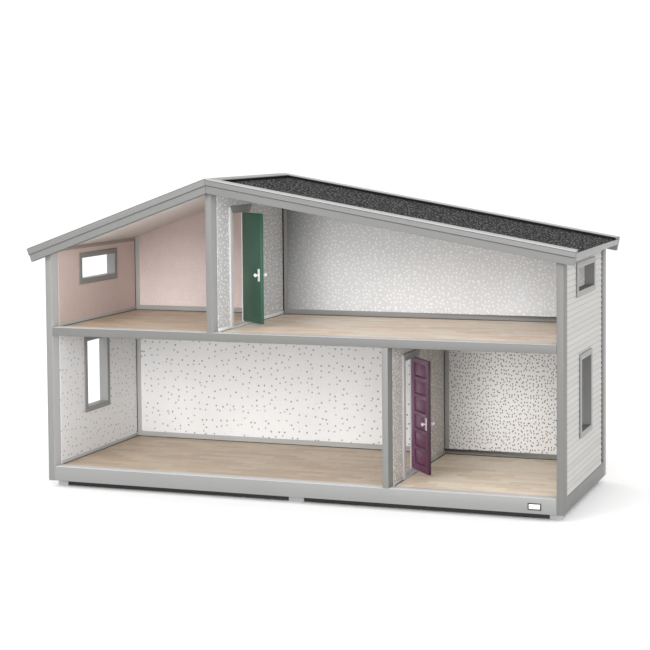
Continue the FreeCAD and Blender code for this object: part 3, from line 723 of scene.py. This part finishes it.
# %% One plank of each size, then copies
moulds = {}


def apply_place():
    bpy.ops.object.transform_apply(location=True, rotation=True, scale=True)


def bar(name, x0, x1, y0, y1, z0, z1, ease=0.00022):
    """A block with eased edges. The first of each size is modelled, the rest are copies."""
    size = (x1 - x0, y1 - y0, z1 - z0)
    key = tuple(round(c, 6) for c in size) + (ease,)
    nothing_selected()
    if key not in moulds:
        bpy.ops.mesh.primitive_cube_add(size=1, location=(0, 0, 0), scale=size)
        mould = bpy.context.object
        apply_place()
        bevel = mould.modifiers.new("groove", "BEVEL")
        bevel.width, bevel.segments = ease, 1
        bpy.ops.object.modifier_apply(modifier="groove")
        moulds[key] = mould.data.copy()
        bpy.data.objects.remove(mould)
    piece = bpy.data.objects.new(name, moulds[key].copy())
    bpy.context.collection.objects.link(piece)
    piece.data.transform(Matrix.Translation(((x0 + x1) / 2, (y0 + y1) / 2, (z0 + z1) / 2)))
    return piece


def joined(name, pieces, finish, body="house"):
    """The pieces as one object with one finish, riding on a body."""
    nothing_selected()
    for piece in pieces:
        piece.select_set(True)
    bpy.context.view_layer.objects.active = pieces[0]
    if len(pieces) > 1:
        bpy.ops.object.join()
    whole = bpy.context.view_layer.objects.active
    whole.name = name
    whole.data.materials.clear()
    whole.data.materials.append(finish)
    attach(whole, body)
    return whole


print("bars ready to lay")

# %% Lay the planks
SLIVER, TOUCHING = 0.001, 1e-6
for room in ("lower_left", "lower_right", "upper_left", "upper_right"):
    low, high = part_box("oak_floor_" + room)
    planks = []
    row = math.floor(low[1] / PLANK_WIDE)
    while row * PLANK_WIDE < high[1] - TOUCHING:
        y0, y1 = max(low[1], row * PLANK_WIDE), min(high[1], (row + 1) * PLANK_WIDE)
        shift = ((row + ROWS_BEFORE) * STAGGER) % 1
        step = math.floor(low[0] / PLANK_LONG + shift)
        while (step - shift) * PLANK_LONG < high[0] - TOUCHING:
            x0 = max(low[0], (step - shift) * PLANK_LONG)
            x1 = min(high[0], (step + 1 - shift) * PLANK_LONG)
            if x1 - x0 > SLIVER and y1 - y0 > SLIVER:
                planks.append(bar("plank", x0, x1, y0, y1, low[2], high[2]))
            step += 1
        row += 1
    floor = joined("oak_planks_" + room, planks, OAKS[room])
    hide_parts("oak_floor_" + room)
    print(room, len(planks), "planks")

# %% [markdown]
# ## Mouldings and shadow gaps
# Each sunk panel of the lower door is a raised field inside a groove, and the
# grooves at the hinge side and foot are painted shade. Where a trim meets the
# floor or a paper stops at a corner, a thin black strip stands for the shade: a
# painted shadow.

# %% Raised fields in the sunk panels
FIELD_AREA, LEAF_HALF_DEEP = 0.0004, 0.0012


def hinge_of(door):
    joint = next(j for j in frame["joints"] if j["name"] == door + "_door_hinge")
    return joint["pos_m"]


square = Matrix.Rotation(-OPENED["lower"], 3, "Z")
hinge_at = Vector(hinge_of("lower"))


def on_leaf(f):
    """A face's centre and normal as if the lower door stood closed, from its hinge."""
    return square @ (f.center - hinge_at), square @ f.normal


def sunk_panel(f):
    centre, normal = on_leaf(f)
    return f.area > FIELD_AREA and abs(normal.x) > 0.99 and abs(centre.x) < LEAF_HALF_DEEP


select_only(panelled)
bpy.ops.object.mode_set(mode="EDIT")
bpy.ops.mesh.select_all(action="SELECT")
bpy.ops.mesh.dissolve_limited(angle_limit=math.radians(0.5))
bpy.ops.mesh.select_all(action="DESELECT")
bpy.ops.object.mode_set(mode="OBJECT")
fields = [f for f in panelled.data.polygons if sunk_panel(f)]
for f in fields:
    f.select = True
bpy.ops.object.mode_set(mode="EDIT")
for thickness, depth in ((0.0005, -0.0004), (0.0004, 0.0), (0.0006, 0.0004)):
    bpy.ops.mesh.inset(thickness=thickness, depth=depth, use_individual=True)
bpy.ops.object.mode_set(mode="OBJECT")
panelled.data.update()
print(len(fields), "raised fields")

# %% Dark grooves and the dark free edge
LEAF_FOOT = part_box("door_leaf_lower")[0][2]
PANEL_LOW, PANEL_PITCH, PANEL_HINGE_SIDE, GROOVE_HIGH = 0.0075, 0.0206, -0.0095, 0.003
GROOVE_AREA, GROOVE_DEEP = 0.00012, 0.00096
PANELS_WIDE, PANELS_TALL = (-0.0425, -0.006), (0.006, 0.129)
HINGE_UP, FREE_EDGE = 0.066, -0.049
# Painted shade: grooves on the hinge side and at the foot of each panel, and the leaf's free edge, take
# darker purples.
panelled.data.materials.append(PURPLE_GROOVE)
panelled.data.materials.append(PURPLE_EDGE_SHADE)
for f in panelled.data.polygons:
    centre, normal = on_leaf(f)
    up = (f.center.z - LEAF_FOOT - PANEL_LOW) % PANEL_PITCH
    groove = (abs(centre.x) < GROOVE_DEEP and f.area < GROOVE_AREA and abs(normal.x) > 0.3
              and PANELS_WIDE[0] < centre.y < PANELS_WIDE[1]
              and PANELS_TALL[0] < centre.z + HINGE_UP < PANELS_TALL[1])
    lit = centre.y < PANEL_HINGE_SIDE and up > GROOVE_HIGH
    if groove and not lit:
        f.material_index = 1
    if normal.y < -0.7 and centre.y < FREE_EDGE:
        f.material_index = 2
print("grooves darkened at the hinge side and foot of each panel")


# %% Shadow gaps
# Painted shadow: thin black strips where the back trims meet the floor, up the rooms' left corners and
# at the skirting's foot.
GAP_DEEP = 0.0004
TALL = {"lower_left": 0.1590, "lower_right": 0.1590, "upper_left": 0.0930, "upper_right": 0.1540}
WIDE = {"lower_left": 0.0007, "lower_right": 0.0007, "upper_left": 0.0006, "upper_right": 0.0015}
skirting_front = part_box("side_skirting")[0][1]
gaps = []
for room in TALL:
    level, hand = room.split("_")
    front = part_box("back_trim_" + level)[0][1]
    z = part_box("oak_floor_" + room)[1][2]
    paper_low, paper_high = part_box("wallpaper_sides_" + room)
    x0, x1 = paper_low[0] + 0.0005, paper_high[0] - 0.0005
    gaps.append(bar("gap", x0, x1, front - GAP_DEEP, front, z, z + 0.0006, FINE_EASE))
    gaps.append(bar("gap", x0, x0 + WIDE[room], front - GAP_DEEP, front, z, z + TALL[room], FINE_EASE))
    foot = x0 + 0.0010
    start = skirting_front + (0 if hand == "left" else 0.001)
    gaps.append(bar("gap", foot, foot + 0.0008, start, front, z, z + 0.0005, FINE_EASE))
shadow_gaps = joined("shadow_gaps", gaps, BLACK)
print(len(gaps), "shadow gaps")

# %% Grooves round the siding
# Painted shadow: black strips in the groove behind each siding's rear edge and under its foot.
SKIN, PROUD = 0.0005, 0.0002
grooves = []
for side in ("left", "right"):
    low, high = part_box("siding_" + side)
    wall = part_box("wall_panel_" + side)
    if side == "left":
        x0, x1 = wall[0][0] - PROUD, wall[0][0] + SKIN
    else:
        x0, x1 = wall[1][0] - SKIN, wall[1][0] + PROUD
    grooves.append(
        bar("groove", x0, x1, high[1] + 0.0001, high[1] + 0.0017, low[2], high[2] - 0.006, FINE_EASE))
    grooves.append(bar("groove", x0, x1, low[1], high[1], low[2] - 0.0007, low[2], FINE_EASE))
siding_groove_shadows = joined("siding_groove_shadows", grooves, BLACK)
print(len(grooves), "grooves")

# %% The plain white field of the badge
RIM_WIDE, RIM_HIGH = 0.0014, 0.0013
low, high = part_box("badge_plate")
field = bar("badge_field", low[0] + RIM_WIDE, high[0] - RIM_WIDE, low[1] - 0.0002, low[1] + 0.0003,
            low[2] + RIM_HIGH, high[2] - RIM_HIGH, FINE_EASE)
field = joined("badge_field", [field], HANDLE_WHITE)
print("badge left blank")

# %% [markdown]
# ## Door handles
# Each face of a door has a rounded back plate and a turned knob on a short
# stem. One handle is made lying flat at its real size, then copied onto both
# faces of both doors and turned with the leaf as it stands.


# %% One handle
PLATE_THICK, PLATE_WIDE, PLATE_TALL, PLATE_ROUND = 0.0009, 0.0046, 0.0150, 0.00042
STEM_RADIUS, STEM_LONG, STEM_AT = 0.0010, 0.0030, 0.0022
KNOB_RADIUS, KNOB_AT, KNOB_FLAT = 0.0023, 0.0049, 0.86


def handle():
    """A handle on the plane x = 0, knob towards +x, centred on the origin."""
    sideways = (0, math.radians(90), 0)
    nothing_selected()
    bpy.ops.mesh.primitive_cube_add(
        size=1, location=(PLATE_THICK / 2, 0, 0), scale=(PLATE_THICK, PLATE_WIDE, PLATE_TALL))
    plate = bpy.context.object
    apply_place()
    bevel = plate.modifiers.new("round", "BEVEL")
    bevel.width, bevel.segments = PLATE_ROUND, 3
    bpy.ops.object.modifier_apply(modifier="round")
    bpy.ops.mesh.primitive_cylinder_add(
        vertices=24, radius=STEM_RADIUS, depth=STEM_LONG, location=(STEM_AT, 0, 0), rotation=sideways)
    stem = bpy.context.object
    bpy.ops.object.mode_set(mode="EDIT")
    bpy.ops.mesh.select_all(action="SELECT")
    bpy.ops.mesh.subdivide(number_cuts=2)
    bpy.ops.object.mode_set(mode="OBJECT")
    bpy.ops.mesh.primitive_uv_sphere_add(
        segments=32, ring_count=20, radius=KNOB_RADIUS, location=(KNOB_AT, 0, 0), rotation=sideways)
    knob = bpy.context.object
    bpy.ops.transform.resize(value=(KNOB_FLAT, 1, 1))
    nothing_selected()
    for piece in (plate, stem, knob):
        piece.select_set(True)
    bpy.context.view_layer.objects.active = plate
    apply_place()
    bpy.ops.object.join()
    bpy.ops.object.shade_smooth_by_angle(angle=math.radians(40))
    return plate


first = handle()
print("one handle,", len(first.data.polygons), "faces")

# %% Both faces of both doors
HANDLE_OUT, HANDLE_UP, HALF_LEAF = -0.0439, 0.0586, 0.00175
for door, finish in (("upper", HANDLE_WHITE), ("lower", HANDLE_LILAC)):
    hinge = hinge_of(door)
    pivot = Vector((hinge[0], hinge[1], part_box("door_leaf_" + door)[0][2]))
    swing = Matrix.Translation(pivot) @ Matrix.Rotation(OPENED[door], 4, "Z")
    pair = []
    for side in (1, -1):
        one = bpy.data.objects.new("handle", first.data.copy())
        bpy.context.collection.objects.link(one)
        turn = Matrix.Rotation(0 if side > 0 else math.pi, 4, "Z")
        place = Matrix.Translation((side * HALF_LEAF, HANDLE_OUT, HANDLE_UP))
        one.data.transform(swing @ place @ turn)
        pair.append(one)
    both = joined("handles_" + door, pair, finish, door + "_door")
    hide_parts("door_handles_" + door)
bpy.data.objects.remove(first)
print("handles fitted")

# %% [markdown]
# ## Screws with cross slots
# A screw head is a short cylinder whose rim is bevelled and whose cross is two
# slots cut with a Boolean. It is made once and copied to each CAD head.


# %% One screw head
HEAD_RADIUS, HEAD_PROUD, HEAD_TURN = 0.0024, 0.0009, 0.7


def screw_head(radius, proud):
    nothing_selected()
    bpy.ops.mesh.primitive_cylinder_add(
        vertices=28, radius=radius, depth=proud, location=(0, 0, 0), rotation=(math.radians(90), 0, 0))
    head = bpy.context.object
    apply_place()
    bevel = head.modifiers.new("rim", "BEVEL")
    bevel.width, bevel.segments, bevel.limit_method = radius * 0.18, 2, "ANGLE"
    bpy.ops.object.modifier_apply(modifier="rim")
    long, short = radius * 1.2, radius * 0.3
    for scale in ((long, proud, short), (short, proud, long)):
        bpy.ops.mesh.primitive_cube_add(size=1, location=(0, proud * 0.75, 0), scale=scale)
        slot = bpy.context.object
        cutter = head.modifiers.new("slot", "BOOLEAN")
        cutter.operation, cutter.object, cutter.solver = "DIFFERENCE", slot, "EXACT"
        select_only(head)
        bpy.ops.object.modifier_apply(modifier="slot")
        bpy.data.objects.remove(slot)
    return head


head = screw_head(HEAD_RADIUS, HEAD_PROUD)
print("one screw head,", len(head.data.polygons), "faces")


# %% Find the CAD heads
def loose_parts(mesh):
    """The middle of each loose part of a mesh, as the mean of its corners."""
    shells = bmesh.new()
    shells.from_mesh(mesh)
    bmesh.ops.remove_doubles(shells, verts=shells.verts, dist=MERGE)
    seen, centres = set(), []
    for start in shells.verts:
        if start in seen:
            continue
        stack, island = [start], []
        seen.add(start)
        while stack:
            v = stack.pop()
            island.append(v.co.copy())
            for e in v.link_edges:
                other = e.other_vert(v)
                if other not in seen:
                    seen.add(other)
                    stack.append(other)
        centres.append(sum(island, Vector()) / len(island))
    shells.free()
    return centres


centres = loose_parts(NODES["back_screws"].data)
print(len(centres), "heads to make")

# %% Copy the head to each
copies = []
for i, centre in enumerate(centres):
    one = head.copy()
    one.data = head.data.copy()
    bpy.context.collection.objects.link(one)
    one.data.transform(Matrix.Translation(centre) @ Matrix.Rotation(i * HEAD_TURN, 4, "Y"))
    copies.append(one)
bpy.data.objects.remove(head)
screws = joined("screw_heads", copies, ZINC)
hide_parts("back_screws")
print(len(copies), "screws")

# %% [markdown]
# ## Black seals round the felt
# The felt lies in a shallow tray. Along the ridge and both bargeboards a thin
# black seal rises at its edge; the black stands for the shade against their
# sides, a painted shadow. Each seal is a bar laid on the slope: made level with
# eased edges, then turned about the ridge.

# %% Seals
RIDGE_EDGE, SEAL_THICK, SEAL_FOOT, SEAL_TOP, EAVE_GAP = 0.0110, 0.0008, -0.0036, -0.0008, 0.0017
SEAL_RUNS = {"left": (-1, 0.2492), "right": (1, 0.4381)}
ridge_x, ridge_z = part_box("roof_panel_left")[1][0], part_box("ridge_cap")[1][2]
near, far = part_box("roof_covering_left")[0][1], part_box("roof_covering_left")[1][1]
for side, (way, reach) in SEAL_RUNS.items():
    start, end = RIDGE_EDGE + SEAL_THICK, reach - EAVE_GAP
    on_slope = Matrix.Translation((ridge_x, 0, ridge_z)) @ Matrix.Rotation(way * SLOPES[side], 4, "Y")
    seals = []
    for x0, x1, y0, y1 in ((RIDGE_EDGE, start, near, far),
                           (start, end, far - SEAL_THICK, far), (start, end, near, near + SEAL_THICK)):
        if way < 0:
            x0, x1 = -x1, -x0
        strip = bar("seal", x0, x1, y0, y1, SEAL_FOOT, SEAL_TOP)
        strip.data.transform(on_slope)
        seals.append(strip)
    seal = joined("felt_seal_" + side, seals, BLACK)
print("seals laid")

# %% [markdown]
# ## Floor, light and camera
# A pale sweep of floor, soft panels of light above and in front, and a long
# lens at the height of a seated viewer, just right of the house.

# %% Floor
nothing_selected()
bpy.ops.mesh.primitive_plane_add(size=60, location=(0, 0, 0))
floor = bpy.context.object
floor.name = "studio_floor"
pale = Finish("studio_floor_white", 0.9)
floor.data.materials.append(pale.wear(Base_Color=pale.mix(pale.noise(0.6, 2), grey(0.94), grey(0.96))))
floor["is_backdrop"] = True
print("floor laid")

# %% Light
world = bpy.data.worlds.new("studio")
bpy.context.scene.world = world
world.use_nodes = True
world.node_tree.nodes["Background"].inputs["Color"].default_value = (1, 1, 1, 1)
world.node_tree.nodes["Background"].inputs["Strength"].default_value = 1.10


def softbox(name, place, target, width, height, watts):
    nothing_selected()
    bpy.ops.object.light_add(type="AREA", location=place)
    lamp = bpy.context.object
    lamp.name = name
    lamp.data.shape, lamp.data.energy = "RECTANGLE", watts
    lamp.data.size, lamp.data.size_y = width, height
    lamp.rotation_euler = (Vector(target) - Vector(place)).to_track_quat("-Z", "Y").to_euler()


MIDDLE = (0, 0, 0.15)
softbox("key_panel", (-1.5, -2.8, 1.9), MIDDLE, 1.5, 1.3, 46)
softbox("front_panel", (0.6, -3.1, 0.8), MIDDLE, 2.2, 1.3, 46)
softbox("right_panel", (2.3, -2.0, 0.9), MIDDLE, 1.3, 1.1, 20)
print("three panels of light")

# %% Camera
YAW, PITCH, ROLL = math.radians(20.141), math.radians(-3.288), math.radians(-0.479)
CAMERA_AT, LENS_MM, SENSOR_MM, LENS_SHIFT = (0.71314, -1.94012, 0.42597), 95.64, 36, -0.146
ahead = Vector((-math.sin(YAW) * math.cos(PITCH), math.cos(YAW) * math.cos(PITCH), math.sin(PITCH)))
level = Vector((math.cos(YAW), math.sin(YAW), 0))
upright = level.cross(ahead)
right = level * math.cos(ROLL) + upright * math.sin(ROLL)
top = -level * math.sin(ROLL) + upright * math.cos(ROLL)
nothing_selected()
bpy.ops.object.camera_add(location=CAMERA_AT)
camera = bpy.context.object
facing = Matrix((right, top, -ahead)).transposed().to_4x4()
camera.matrix_world = Matrix.Translation(camera.location) @ facing
camera.data.sensor_width, camera.data.lens, camera.data.shift_y = SENSOR_MM, LENS_MM, LENS_SHIFT
camera.data.clip_end = 50
bpy.context.scene.camera = camera
bpy.context.scene.view_settings.view_transform = "Standard"
print("camera", LENS_MM, "mm")

# %% Check the size and finish
visual_box = [list(c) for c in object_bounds()]
grown = [[round((v - c) * 1000, 2) for v, c in zip(a, b)] for a, b in zip(visual_box, cad_box)]
print("grew by", grown, "mm")
